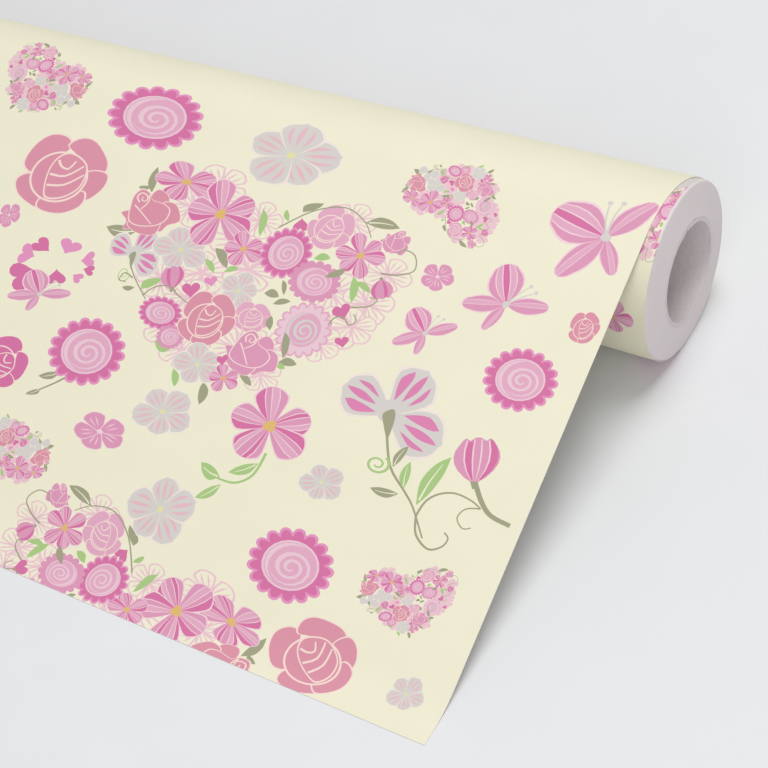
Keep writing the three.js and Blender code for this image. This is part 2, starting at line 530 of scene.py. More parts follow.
def open_rose(fine=True, ink="salmon"):
    """A rose seen from above: outer petals round an open bud, parted by pale lines."""
    petals = [
        [(-0.85, 0.3), (-0.65, 0.75), (-0.3, 1), (0.05, 0.92), (0.15, 0.65), (-0.2, 0.35), (-0.6, 0.05)],
        [(0.12, 0.7), (0.4, 0.86), (0.72, 0.72), (0.98, 0.2), (0.85, -0.1), (0.5, 0.1), (0.3, 0.45)],
        [(-0.65, 0.02), (-0.98, -0.1), (-0.9, -0.5), (-0.45, -0.86), (-0.2, -0.75), (-0.3, -0.35)],
        [(0.6, 0), (0.98, -0.08), (0.94, -0.4), (0.6, -0.7), (0.2, -0.65), (0.3, -0.3)],
        [(0.5, -0.5), (0.48, -0.82), (0.12, -1), (-0.25, -0.96), (-0.48, -0.8), (-0.35, -0.55),
         (0, -0.5)],
    ]
    disc = [(-0.06 + 0.6 * math.cos(t), -0.09 + 0.6 * math.sin(t)) for t in spread(0, 5.9, 14)]
    petals.append(disc)
    bud = [(-0.34, -0.36), (-0.28, 0.06), (-0.12, 0.36), (0.12, 0.48), (0.36, 0.36), (0.52, 0.14),
           (0.5, -0.14), (0.36, -0.42), (0.04, -0.6), (-0.28, -0.58)]
    petals.append(bud)
    lines = [
        [(-0.08, 0.34), (-0.02, 0.18), (0.14, 0.1), (0.3, 0.28)],
        [(-0.26, 0.0), (0.08, -0.08), (0.48, 0.14)],
        [(-0.31, -0.28), (0.08, -0.3), (0.49, -0.08)],
    ]
    return petals_with_lines(petals, lines, ink, 1.08, fine)


light_open_rose = partial(open_rose, ink="light_pink")
deep_open_rose = partial(open_rose, ink="deep_pink")


def rosebud(fine=True, ink="salmon"):
    """A half-open rose seen from the side, with a curl at its top."""
    petals = [
        [(0.05, 0.55), (0.2, 0.82), (0.42, 0.9), (0.66, 0.62), (0.66, 0.3), (0.4, 0.15), (0.1, 0.2)],
        [(0.45, 0.25), (0.7, 0.32), (0.94, 0.12), (1, -0.4), (0.88, -0.58), (0.55, -0.65), (0.25, -0.9),
         (0.1, -0.5)],
        [(-0.55, 0.1), (-1, 0.1), (-0.86, -0.25), (-1, -0.6), (-0.72, -0.62), (-0.4, -0.3)],
        [(-0.8, -0.35), (-0.75, -0.62), (-0.5, -0.86), (-0.1, -1), (0.14, -0.9), (0.28, -0.5),
         (-0.2, -0.4)],
        [(-0.76, -0.15), (-0.66, 0.3), (-0.5, 0.76), (-0.2, 1), (0.04, 0.8), (0.12, 0.48), (0.46, 0.28),
         (0.65, 0), (0.52, -0.36), (0.28, -0.54), (0, -0.6), (-0.42, -0.54), (-0.68, -0.38)],
    ]
    lines = [
        [(-0.34, 0.46), (-0.4, 0.7), (-0.22, 0.86), (-0.04, 0.68), (-0.12, 0.48), (-0.25, 0.54),
         (-0.2, 0.68)],
        [(-0.52, 0.36), (-0.36, 0.1), (-0.02, -0.54)],
        [(0.03, 0.74), (-0.04, 0.42), (-0.33, 0.15)],
    ]
    return petals_with_lines(petals, lines, ink, 1.06, fine)


pink_rosebud = partial(rosebud, ink="mid_pink")

# A butterfly's wings: heading, half width, length, bands, and which side the bands start from.
BUTTERFLY_WINGS = (
    (-178, 0.18, 0.76, SLIM_WING_BANDS, 1),
    (-124, 0.18, 1.08, SLIM_WING_BANDS, -1),
    (58, 0.18, 1.04, SLIM_WING_BANDS, 1),
    (-46, 0.42, 1.0, WING_BANDS, 1),
)


def butterfly(fine=True):
    """Four striped wings, a grey body and two feelers."""
    shapes = []
    for heading, width, length, bands, swap in BUTTERFLY_WINGS:
        shapes += banded_petal(heading, width, length, bands, swap, fine, wing_point)
    shapes.append(("grey", circle(0, 0.09, 8)))
    for heading, length in ((14, 0.7), (31, 0.74)):
        tip = length * direction(heading)
        path = spline([0, 0.5 * length * direction(heading - 5), tip], False, 4)
        shapes.append(("grey", ribbon(path, 0.04, 0.6)))
        shapes.append(("grey", circle(tip, 0.05, 8)))
    return shapes


def side_flower(fine=True):
    """A grey flower seen from the side: three petals over an olive cup."""
    shapes = []
    for heading, width, length in ((130, 0.36, 1.1), (-50, 0.36, 1.0), (51, 0.44, 0.92)):
        shapes += grey_petal(heading, width, length, "streak_pink", BOLD_STREAKS, fine)
    shapes.append(("grey", circle(0.04, 0.2, 12)))
    knots = [0.02 - 0.1j, 0.06 + 0.08j, -0.1 + 0.1j, -0.4 - 0.01j, -0.42 - 0.05j, -0.14 - 0.1j]
    cup = spline(knots, True, 3)
    shapes.append(("olive", cup))
    return shapes


def tulip(fine=True):
    """A closed cup of striped petals."""
    def place(along, across):
        reach = along * (1 - 0.12 * across ** 2) + 0.05 * math.cos(9 * across) * along ** 4
        half = 0.5 * math.sin(0.7 * math.pi * along ** 0.85)
        return complex(reach, across * half) - 0.5
    shapes = [("mid_pink", petal_patch(place, (0, 1), (-1, 1), 7, 12))]
    shapes.append(("deep_pink", petal_patch(place, (0.1, 0.97), (-0.52, -0.2))))
    shapes.append(("deep_pink", petal_patch(place, (0.1, 0.97), (0.6, 0.92))))
    if fine:
        for across in (-0.55, -0.18, 0.18, 0.56):
            shapes.append(("line", petal_patch(place, (0.08, 0.97), (across - 0.035, across + 0.035))))
    shapes.append(("olive", [-0.44 + 0.09j, -0.6 + 0.03j, -0.6 - 0.03j, -0.44 - 0.09j]))
    return shapes


def heart(_fine=True, ink="deep_pink"):
    """A plain heart with its point towards -u. It has no finer lines to leave out."""
    outline = []
    for i in range(22):
        t = 2 * math.pi * i / 22
        across = math.sin(t) ** 3
        along = (13 * math.cos(t) - 5 * math.cos(2 * t) - 2 * math.cos(3 * t) - math.cos(4 * t)) / 16
        outline.append(complex(along, across))
    return [(ink, outline)]


mid_heart = partial(heart, ink="pink_rim")


def leaf(fine=True, ink="green"):
    """A pointed leaf that bends to one side, with a pale vein."""
    upper = spline([-1, -0.3 - 0.42j, 0.45 - 0.3j, 1 + 0.12j], False, 4)
    lower = spline([1 + 0.12j, 0.4 + 0.26j, -0.35 + 0.22j, -1], False, 4)
    shapes = [(ink, upper + lower[1:-1])]
    if fine:
        vein = spline([-0.8 - 0.02j, -0.1 - 0.08j, 0.62 - 0.02j], False, 4)
        shapes.append(("cream", ribbon(vein, 0.09, 0.3)))
    return shapes


olive_leaf = partial(leaf, ink="olive")


def green_curl(_fine=True, width=0.13):
    """A tendril that winds into itself. It has no finer lines to leave out."""
    path = [0.95 * (1 - 0.78 * t) * direction(560 * t) for t in spread(0, 1, 26)]
    return [("green", ribbon(path, width, 0.6))]


# ---- Groups of motifs, in millimetres on the paper ----

# A heart filled with flowers. First its backdrop of pale outline flowers, each given as
# a place from the heart's middle, a width, a height and a turn.
HEART_BACKDROP = [
    (-34 - 30j, 24, 15, 20), (-40 - 20j, 20, 16, 0), (-25 + 2j, 22, 16, 40), (-16 - 12j, 24, 18, 15),
    (-8 + 14j, 24, 18, 65), (26 - 4j, 22, 16, 10), (40 - 4j, 20, 15, 50), (32 + 8j, 20, 16, 30),
    (2 + 24j, 22, 16, 5), (-28 + 24j, 20, 14, 55), (14 + 30j, 16, 12, 30), (-12 - 22j, 18, 14, 60),
    (43 - 15j, 18, 13, 0), (38 + 5j, 18, 13, 40), (12 + 22j, 18, 15, 10), (-40 + 8j, 20, 16, 30),
    (-8 - 4j, 24, 16, 50), (-25 + 12j, 20, 15, 0), (30 + 14j, 16, 13, 20), (-18 + 30j, 18, 14, 70),
    (22 - 30j, 18, 14, 70),
]
# Then what is printed over the backdrop. Each line begins with the motif.
HEART_FLOWERS = [
    (olive_leaf, -61 - 26j, 4, 10, -107),
    (olive_leaf, -64 - 4j, 13, 5, 171),
    (leaf, -42 + 11j, 7, 6, -66),
    (olive_leaf, -50 + 15j, 5, 2, 165),
    (green_curl, -54 + 11j, 5, 5, 0),
    (olive_leaf, 5 - 31j, 7, 5, -66),
    (leaf, -3 - 26j, 3, 4, -117),
    (leaf, -11 - 21j, 4, 10, 63),
    (olive_leaf, 33 - 32j, 13, 4, -9),
    (olive_leaf, -63 - 22j, 5, 2, 166),
    (leaf, -26 + 31j, 8, 4, 179),
    (olive_leaf, -3 + 42j, 4, 8, 74),
    (olive_leaf, 10 + 33j, 6, 3, 17),
    (leaf, -16 + 40j, 4, 6, 62),
    (olive_leaf, 22 + 23j, 7, 3, -11),
    (leaf, 20 + 25j, 4, 2, -1),
    (striped_flower, -47 - 28j, 28, 15, -118),
    (side_flower, -54 + 1j, 24, 19, -116),
    (grey_flower, -37 - 4j, 24, 16, -118),
    (rosebud, -55 - 14j, 25, 18, -116),
    (striped_flower, -28 - 20j, 28, 26, -112),
    (olive_leaf, -20 - 5j, 8, 6, 30),
    (leaf, -23 - 1j, 6, 4, 34),
    (leaf, -14 - 2j, 5, 3, -27),
    (striped_flower, -13 - 10j, 16, 13, -118),
    (tulip, -35 + 7j, 9, 10, -113),
    (mid_heart, -20 + 4j, 5, 4, -118),
    (heart, -26 + 9j, 7, 6, -112),
    (heart, 4 - 24j, 6, 5, 75),
    (grey_flower, -8 + 4j, 15, 14, -90),
    (dark_scalloped_flower, 3 - 13j, 20, 19, 0),
    (light_open_rose, 15 - 26j, 18, 17, -80),
    (striped_flower_of_six, 30 - 19j, 19, 16, -118),
    (pink_rosebud, 40 - 27j, 11, 9, -66),
    (leaf, 33 - 7j, 4, 9, 64),
    (leaf, 36 - 9j, 7, 3, 20),
    (leaf, 17 - 15j, 6, 3, -15),
    (mid_scalloped_flower, 18 - 6j, 20, 15, 0),
    (olive_leaf, 24 - 11j, 6, 5, 126),
    (tulip, 43 - 10j, 8, 8, 65),
    (heart, 32 + 1j, 6, 6, -127),
    (olive_leaf, 8 - 1j, 3, 5, 53),
    (olive_leaf, 5 + 2j, 6, 3, -5),
    (olive_leaf, 10 + 4j, 6, 3, -27),
    (pale_scalloped_flower, 22 + 11j, 21, 20, 0),
    (dark_scalloped_flower, -33 + 20j, 18, 12, 0),
    (mid_scalloped_flower, -25 + 27j, 11, 9, 0),
    (light_open_rose, 2 + 12j, 15, 11, -110),
    (open_rose, -14 + 17j, 22, 20, -110),
    (olive_leaf, 9 + 12j, 3, 5, -105),
    (grey_flower, -10 + 33j, 20, 15, -118),
    (pink_rosebud, 8 + 24j, 22, 16, -95),
    (striped_flower, 2 + 35j, 12, 10, -118),
    (heart, -2 + 29j, 4, 4, -118),
    (heart, 37 + 11j, 5, 4, -118),
    (olive_leaf, 18 + 18j, 4, 9, 58),
]
# Last, the olive tendrils. Each is a row of places along it.
HEART_TENDRILS = [
    [-4 - 21j, 6 - 30j, 17 - 34j, 26 - 31j, 31 - 26j],
    [40 - 15j, 46 - 16j, 51 - 19j, 49 - 24j, 44 - 25j, 43 - 23j],
    [-54 + 6j, -49 + 11j, -41 + 17j],
    [-43 + 16j, -40 + 12j, -35 + 10j, -31 + 11j],
    [-33 + 10j, -30 + 12j, -24 + 14j],
    [30 + 7j, 31 + 4j, 34 + 3j, 37 + 5j, 39 + 3j, 37 + 1j],
    [35 - 1j, 41 - 3j, 43 - 6j, 40 - 6j],
    [-50 + 11j, -54 + 10j, -55 + 13j, -52 + 13j],
]


def flower_heart(scale, turn, mirrored=False):
    """The whole heart, made smaller and turned."""
    motifs = [(outline_flower, *row) for row in HEART_BACKDROP] + HEART_FLOWERS
    shapes = []
    for motif, centre, width, height, motif_turn in motifs:
        fine = width * scale > FINE_WIDTH
        shapes += fitted(motif(fine), centre, width, height, motif_turn)
    for knots in HEART_TENDRILS:
        shapes += stem(knots, 0.6, "olive")
    return moved(shapes, turn, scale, 0, mirrored)


def heart_ring():
    """Eight small hearts strewn in a ring, each with its top away from the ring's middle."""
    middle = 2
    hearts = [
        (heart, -9 - 5j, 9, 6),
        (mid_heart, 3 - 7j, 10, 6),
        (mid_heart, 13 - 5j, 6, 6),
        (heart, 15 - 1j, 5, 4),
        (mid_heart, 12 + 3j, 5, 4),
        (heart, 4 + 5j, 8, 6),
        (mid_heart, -13 + 0j, 7, 8),
        (heart, -11 + 9j, 13, 10),
    ]
    shapes = []
    for motif, centre, width, height in hearts:
        turn = math.degrees(cmath.phase(centre - middle))
        shapes += fitted(motif(), centre, width, height, turn)
    return shapes


def stem(knots, width, ink, end_share=0.6):
    """A smooth line through the knots that grows thinner towards its end."""
    return [(ink, ribbon(spline(knots, False, 4), width, end_share))]


def stemmed_flower():
    """One striped flower on a green stem with three leaves."""
    shapes = stem([4 + 9j, 3 + 17j, -2 + 21.5j, -9 + 22j], 1.1, "green")
    shapes += fitted(striped_flower(), 1, 31, 26, -108)
    shapes += fitted(leaf(), -1.5 + 16j, 9, 6, 140)
    shapes += fitted(leaf(), -12.5 + 21j, 9, 5, 188)
    shapes += fitted(leaf(), -10 + 27j, 7, 7, 132)
    return shapes


def tendril_spray():
    """A side flower and a tulip on curling stems."""
    shapes = stem([5 + 8j, 11 + 18j, 19 + 24j, 24 + 28j, 31 + 36j], 0.9, "olive")
    shapes += stem([26 + 30j, 27 + 25j, 30 + 21.5j, 35 + 19.5j, 41 + 20j, 45 + 21.5j], 0.8, "olive")
    shapes += stem([26 + 30j, 28.5 + 35.5j, 34 + 38.5j, 38 + 36.5j, 39 + 33.5j, 37 + 32j], 0.8, "olive")
    shapes += stem([40 + 14.5j, 44.5 + 19.5j, 49 + 22.5j, 56 + 23.5j], 1.7, "olive", 0.8)
    shapes += stem([45 + 21.5j, 40.5 + 23j, 39 + 26.5j, 42 + 29j, 44.5 + 28j], 0.5, "olive", 0.8)
    shapes += moved(side_flower(), -116, 20, 3 + 2j)
    shapes += fitted(tulip(), 37 + 8j, 15, 17, -108)
    shapes += fitted(leaf(), 26 + 18j, 6.5, 18, -76)
    shapes += fitted(leaf(), 17 + 19j, 3.5, 9, -102)
    shapes += fitted(olive_leaf(), 12.5 + 14j, 3.5, 8, -78)
    shapes += fitted(olive_leaf(), 12.5 + 26.5j, 10, 3, 170)
    shapes += fitted(green_curl(width=0.24), 7 + 18.5j, 8, 6, -60)
    return shapes


def scalloped_sprig():
    """A scalloped flower with a short olive stem and a leaf."""
    shapes = stem([-2 + 10j, -6 + 14j, -12 + 19j], 0.9, "olive")
    shapes += fitted(olive_leaf(), -10 + 12j, 8, 4, 150)
    shapes += fitted(olive_leaf(), -13 + 19.5j, 5, 3.5, 120)
    shapes += fitted(dark_scalloped_flower(), 0, 32, 25, 0)
    return shapes


# The strewn motifs: what is drawn, its centre, width, height and turn.
STREWN = [
    (dark_scalloped_flower, -194 + 16j, 42, 26, 10),
    (dark_scalloped_flower, -20 + 71j, 25, 21, 0),
    (dark_scalloped_flower, -67 + 150j, 31, 24, 20),
    (open_rose, -220 + 46j, 40, 32, -110),
    (open_rose, -47 + 174j, 31, 25, -150),
    (open_rose, -7 + 49j, 10, 11, -120),
    (deep_open_rose, -207 + 119j, 24, 20, -60),
    (butterfly, -16.5 + 19j, 33, 33, -118),
    (butterfly, -35 + 47j, 29, 24, -68),
    (butterfly, -57 + 65j, 20, 16, -90),
    (butterfly, -205 + 91j, 26, 16, -80),
    (grey_flower, -132 + 17j, 38, 26, -20),
    (grey_flower, -135 + 117j, 24, 17, 10),
    (grey_flower, -120 + 148j, 26, 22, 40),
    (grey_flower, -69 + 122j, 16, 12, 20),
    (grey_flower, -13 + 173j, 12, 11, 0),
    (plain_flower, -61 + 46j, 12, 10, 0),
    (plain_flower, -155 + 131j, 21, 13, 20),
    (plain_flower, -234 + 67j, 10, 10, 0),
]

# The groups: what is drawn, its centre and how far it reaches.
GROUPS = [
    (partial(flower_heart, 1, 0), -121 + 65j, 62),
    (partial(flower_heart, 0.945, -167, True), -127 + 189j, 58),
    (partial(flower_heart, 0.365, -160, True), -253 + 11j, 22),
    (partial(flower_heart, 0.34, 151), -191 + 151j, 22),
    (partial(flower_heart, 0.268, -21), -23.5 + 146j, 17),
    (partial(flower_heart, 0.331, 22, True), -64 + 19j, 20),
    (heart_ring, -205 + 79j, 20),
    (stemmed_flower, -96 + 110j, 18),
    (tendril_spray, -60 + 92j, 34),
    (scalloped_sprig, -175 + 106j, 18),
]

# How far all of these are moved each time they are printed again.
REPEATS = (-265, -40 - 240j, -300 - 240j, -134 - 440j, -85 - 200j, -205 - 215j, -330 - 190j,
           20 - 180j, -170 - 160j, -60 - 110j, -310 - 100j, -130 - 85j, -395 - 75j)
TOP_LINE = -38                     # no repeat behind the roll comes nearer to its top than this
PLAIN_WINDOW = (-30 - 140j, 34)    # a place that no repeat comes near, and its reach
CLOSEST = 0.8                      # how near two may be, as a share of their reaches added together

# A flower and a small heart that are printed once, on the roll's front under the sheet.
UNDER_SHEET = (striped_flower, -10.5 - 148j, 14, 13, 0)
SEAM_HEART = (partial(flower_heart, 0.37, 100), -6 - 189j, 25)


class Placed:
    """A motif or group at its place: how to draw it, where, and how far it reaches."""

    def __init__(self, draw, centre, reach):
        self.draw = draw
        self.centre = centre
        self.reach = reach

    def shapes(self):
        return moved(self.draw(), to=self.centre)

    def shifted(self, shift):
        return Placed(self.draw, self.centre + shift, self.reach)

    def clear_of(self, others):
        return all(abs(self.centre - other.centre) > CLOSEST * (self.reach + other.reach)
                   for other in others)


def placed_motif(motif, centre, width, height, turn):
    """One strewn motif at its place."""
    def draw():
        return fitted(motif(width > FINE_WIDTH), 0, width, height, turn)

    return Placed(draw, centre, max(width, height) / 2)


def whole_print():
    """Every shape of the print in the order of printing, a later one over an earlier one."""
    first = [Placed(*group) for group in GROUPS] + [placed_motif(*motif) for motif in STREWN]
    placed = first + [placed_motif(*UNDER_SHEET)]
    window = Placed(None, *PLAIN_WINDOW)
    # The heart is drawn again one turn further in, so that the windings' seam doesn't cut it.
    for shift in (0, -2j * math.pi * WOUND_RADIUS):
        placed.append(Placed(*SEAM_HEART).shifted(shift))
    for shift in REPEATS:
        others = placed + [window]
        for item in first:
            copy = item.shifted(shift)
            over_the_top = shift.imag and copy.centre.imag + copy.reach > TOP_LINE
            if copy.clear_of(others) and not over_the_top:
                placed.append(copy)
    return [shape for item in placed for shape in item.shapes()]


# ---- Meshes ----

PRINTED, BACK, EDGE = range(3)
KEEP_INSIDE = 1           # the triangulation keeps only what lies inside some outline
MERGE_DISTANCE = 1e-5
ON_EDGE = 1e-3            # a point this near an edge of the sheet lies on it,
ON_LINE = 1e-4            # and one this near a line across it belongs to both of its sides
RIDGE_ANGLE = 30          # degrees; a sharper edge than this isn't shaded smooth


def new_object(name, data):
    """A mesh, lamp or camera placed in the scene."""
    item = bpy.data.objects.new(name, data)
    bpy.context.scene.collection.objects.link(item)
    return item


class Skin:
    """Points in mm, and faces with a finish and an ink, gathered before they become a mesh."""

    def __init__(self):
        self.points = []
        self.faces = []
        self.finishes = []
        self.inks = []

    def point(self, place):
        self.points.append(place)
        return len(self.points) - 1

    def face(self, corners, finish, ink="cream"):
        self.faces.append(corners)
        self.finishes.append(finish)
        self.inks.append(ink)

    def stitch(self, dense, sparse, lines, finish):
        """Joins a row of many (position, point) pairs to a row with one point at each line."""
        for i in range(len(lines) - 1):
            near, far = lines[i] - ON_LINE, lines[i + 1] + ON_LINE
            row = [index for position, index in dense if near <= position <= far]
            self.face(row + [sparse[i + 1], sparse[i]], finish)

    def join(self, near, far, finish):
        """Joins two closed rings of the same number of points."""
        for i in range(len(near)):
            self.face([near[i - 1], near[i], far[i], far[i - 1]], finish)

    def build(self, name, materials):
        """Makes the mesh in metres, with its inks as a colour on every face corner."""
        mesh = bpy.data.meshes.new(name)
        mesh.from_pydata([Vector(p) * MM for p in self.points], [], self.faces)
        for material in materials:
            mesh.materials.append(material)
        mesh.polygons.foreach_set("material_index", self.finishes)
        ink = mesh.color_attributes.new("ink", "FLOAT_COLOR", "CORNER")
        tones = {key: colour(key) for key in INKS}
        values = []
        for face, key in zip(self.faces, self.inks):
            values += tones[key] * len(face)
        ink.data.foreach_set("color", values)
        shell = bmesh.new()
        shell.from_mesh(mesh)
        bmesh.ops.recalc_face_normals(shell, faces=shell.faces)
        shell.to_mesh(mesh)
        shell.free()
        mesh.shade_smooth()
        mesh.set_sharp_from_angle(angle=math.radians(RIDGE_ANGLE))
        return new_object(name, mesh)


def anticlockwise(outline):
    """The outline in the direction that the triangulation needs."""
    area = sum((outline[i - 1].conjugate() * outline[i]).imag for i in range(len(outline)))
    return outline if area > 0 else outline[::-1]


def within(outline, left, right, first, last):
    """Whether an outline's box touches the part of the paper between those limits."""
    across = [p.real for p in outline]
    along = [p.imag for p in outline]
    return max(along) >= first and min(along) <= last and max(across) >= left and min(across) <= right


def printed_face(skin, place, left, right, lines, shapes):
    """Adds the printed face between two widths and the first and last line.

    Returns the rows of points on its right, left, first and last edges, as (position, point).
    """
    first, last = lines[0], lines[-1]
    points = [complex(left, first), complex(right, first), complex(right, last), complex(left, last)]
    faces = [[0, 1, 2, 3]]
    inks = ["cream"]
    for ink, outline in shapes:
        if within(outline, left, right, first, last):
            faces.append(list(range(len(points), len(points) + len(outline))))
            points += anticlockwise(outline)
            inks.append(ink)
    edges = []
    for line in lines[1:-1]:
        edges.append((len(points), len(points) + 1))
        points += [complex(left, line), complex(right, line)]
    flat = [Vector((p.real, p.imag)) for p in points]
    result = delaunay_2d_cdt(flat, edges, faces, KEEP_INSIDE, MERGE_DISTANCE, True)
    verts = result[0]
    inside = [(face, origin) for face, origin in zip(result[2], result[5]) if 0 in origin]
    used = sorted({corner for face, _ in inside for corner in face})
    index = {corner: skin.point(place(complex(*verts[corner]), 0)) for corner in used}
    for face, origin in inside:
        skin.face([index[corner] for corner in face], PRINTED, inks[max(origin)])
    rows = []
    for axis, edge in ((0, right), (0, left), (1, first), (1, last)):
        on_edge = [corner for corner in used if abs(verts[corner][axis] - edge) < ON_EDGE]
        rows.append(sorted((verts[corner][1 - axis], index[corner]) for corner in on_edge))
    return rows


def sheet_piece(name, lines, shapes, materials):
    """A length of the outermost turn or the free sheet, printed on its outer face."""
    skin = Skin()
    rows = printed_face(skin, on_sheet, -WEB_WIDTH, 0, lines, shapes)
    right = [skin.point(on_sheet(complex(0, line), PAPER_THICKNESS)) for line in lines]
    left = [skin.point(on_sheet(complex(-WEB_WIDTH, line), PAPER_THICKNESS)) for line in lines]
    for i in range(len(lines) - 1):
        skin.face([right[i], right[i + 1], left[i + 1], left[i]], BACK)
    skin.stitch(rows[0], right, lines, EDGE)
    skin.stitch(rows[1], left, lines, EDGE)
    ends = [-WEB_WIDTH, 0]
    skin.stitch(rows[2], [left[0], right[0]], ends, EDGE)
    skin.stitch(rows[3], [left[-1], right[-1]], ends, EDGE)
    return skin.build(name, materials)


def steps_between(first, last, step):
    """Evenly spaced lines, both ends included, as near to the step apart as fits."""
    count = max(1, round((last - first) / step))
    return spread(first, last, count + 1)


def windings_inner_radius(angle):
    """The windings' inner radius, which is larger over the tape at the top."""
    from_top = abs((angle + math.pi) % (2 * math.pi) - math.pi)
    share = min(max((RECESS_HALF_ANGLE - from_top) / RECESS_SLOPE, 0), 1)
    return WOUND_INNER_RADIUS + (RECESS_RADIUS - WOUND_INNER_RADIUS) * share


def end_rings(skin, angles, sign, edge_x, ripple):
    """Rings of points from the windings' printed face over its rounded edge and down to the core."""
    rings = []
    for turn in spread(0, math.pi / 2, 5)[1:]:
        x = edge_x + sign * ROUNDED_EDGE * (math.sin(turn) - 1)
        radius = WOUND_RADIUS - ROUNDED_EDGE * (1 - math.cos(turn))
        rings.append([skin.point((x, *around_roll(radius, angle))) for angle in angles])
    outer = WOUND_RADIUS - ROUNDED_EDGE
    for ring in range(1, RING_COUNT + 1):
        share = ring / RING_COUNT
        ridge = RIDGE_HEIGHT * (ring % 2) + ripple[ring - 1] if ring < RING_COUNT else 0
        x = edge_x + CONE_DEPTH * share - sign * ridge
        points = []
        for angle in angles:
            radius = outer + (windings_inner_radius(angle) - outer) * share
            points.append(skin.point((x, *around_roll(radius, angle))))
        rings.append(points)
    return rings


def wound_piece(shapes, materials):
    """The tight windings: a cylinder printed like the sheet, with ridged and slightly coned ends."""
    first = TURN_FIRST - 2 * math.pi * WOUND_RADIUS + HALF_SEAM
    last = TURN_FIRST - HALF_SEAM
    lines = steps_between(first, last, WOUND_RADIUS * WOUND_STEP)
    skin = Skin()
    rows = printed_face(skin, on_windings, ROUNDED_EDGE - WEB_WIDTH, -ROUNDED_EDGE, lines, shapes)
    skin.face([i for _, i in rows[3]] + [i for _, i in reversed(rows[2])], PRINTED)
    angles = [wound_angle(line) for line in lines]
    draw = random.Random(RIPPLE_SEED)
    ripple = [draw.uniform(-RIPPLE_HEIGHT, RIPPLE_HEIGHT) for _ in range(RING_COUNT)]
    rims = []
    for sign, edge_x, row in ((1, RIM_RIGHT, rows[0]), (-1, RIM_RIGHT - WEB_WIDTH, rows[1])):
        rings = end_rings(skin, angles, sign, edge_x, ripple)
        skin.stitch(row, rings[0], lines, EDGE)
        skin.face([row[-1][1], row[0][1], rings[0][0], rings[0][-1]], EDGE)
        for near, far in zip(rings, rings[1:]):
            skin.join(near, far, EDGE)
        rims.append(rings[-1])
    skin.join(*rims, BACK)
    return skin.build("printed_windings", materials)


def core_ply(index, material):
    """One strip of board wound as a spiral, cut square at both ends of the core."""
    inner = BORE_RADIUS + index * PLY_STEP
    outer = inner + PLY_THICKNESS
    width = PLY_PITCH - BUTT_GAP
    stagger = index * PLY_PITCH / PLY_COUNT
    advance = PLY_PITCH * WOUND_STEP / (2 * math.pi)
    count = math.ceil((WEB_WIDTH + stagger + PLY_PITCH) / advance)
    skin = Skin()
    sections = []
    for i in range(count + 1):
        strip_left = CORE_LOW.x - stagger - width + i * advance
        left = max(strip_left, CORE_LOW.x)
        right = min(strip_left + width, CORE_HIGH.x)
        if right - left < LEAST_STRIP:
            continue
        section = []
        for x, radius in ((left, outer), (right, outer), (right, inner), (left, inner)):
            section.append(skin.point((x, *around_roll(radius, i * WOUND_STEP))))
        sections.append(section)
    for near, far in zip(sections, sections[1:]):
        skin.join(near, far, 0)
    skin.face(sections[0], 0)
    skin.face(sections[-1], 0)
    names = ("core_inner_board", "core_middle_board", "core_outer_board")
    return skin.build(names[index], [material])


# ---- Materials ----


def new_material(name):
    material = bpy.data.materials.new(name)
    material.use_nodes = True
    tree = material.node_tree
    shader = tree.nodes["Principled BSDF"]
    shader.inputs["Specular IOR Level"].default_value = 0.3
    return material, tree, shader


def set_inputs(tree, node, values):
    """Gives a node's inputs their values. A value may also be the output of another node."""
    for name, value in values.items():
        if isinstance(value, bpy.types.NodeSocket):
            tree.links.new(value, node.inputs[name])
        else:
            node.inputs[name].default_value = value


def object_noise(tree, scale, detail, stretch=(1, 1, 1)):
    """Noise in the object's own coordinates; scale is in waves per metre."""
    place = tree.nodes.new("ShaderNodeTexCoord")
    mapping = tree.nodes.new("ShaderNodeMapping")
    noise = tree.nodes.new("ShaderNodeTexNoise")
    set_inputs(tree, mapping, {"Vector": place.outputs["Object"], "Scale": stretch})
    set_inputs(tree, noise, {"Vector": mapping.outputs["Vector"], "Scale": scale, "Detail": detail})
    return noise.outputs["Fac"]


NOISE_LOW = 0.3      # nearly all of a noise's values lie between these two
NOISE_HIGH = 0.7


def remapped(tree, value, low, high):
    """Noise made to run from low to high."""
    node = tree.nodes.new("ShaderNodeMapRange")
    set_inputs(tree, node, {"Value": value, "From Min": NOISE_LOW, "From Max": NOISE_HIGH})
    set_inputs(tree, node, {"To Min": low, "To Max": high})
    return node.outputs["Result"]


def shaded(tree, base, noise, contrast):
    """A colour made lighter and darker by noise, by up to the contrast either way."""
    node = tree.nodes.new("ShaderNodeVectorMath")
    node.operation = "SCALE"
    set_inputs(tree, node, {0: base, "Scale": remapped(tree, noise, 1 - contrast, 1 + contrast)})
    return node.outputs["Vector"]


def bumps(tree, height, distance, strength=0.4):
    """The way that a surface faces when its height follows noise."""
    node = tree.nodes.new("ShaderNodeBump")
    set_inputs(tree, node, {"Height": height, "Distance": distance, "Strength": strength})
    return node.outputs["Normal"]


def printed_paper():
    """Paper whose colour is the ink on each face."""
    material, tree, shader = new_material("printed_paper")
    ink = tree.nodes.new("ShaderNodeAttribute")
    ink.attribute_name = "ink"
    fibre = object_noise(tree, 2600, 3)
    tone = shaded(tree, ink.outputs["Color"], fibre, 0.015)
    tone = shaded(tree, tone, object_noise(tree, 60, 2), 0.01)
    roughness = remapped(tree, fibre, 0.5, 0.62)
    normal = bumps(tree, fibre, distance=3e-5, strength=0.25)
    set_inputs(tree, shader, {"Base Color": tone, "Roughness": roughness, "Normal": normal})
    return material


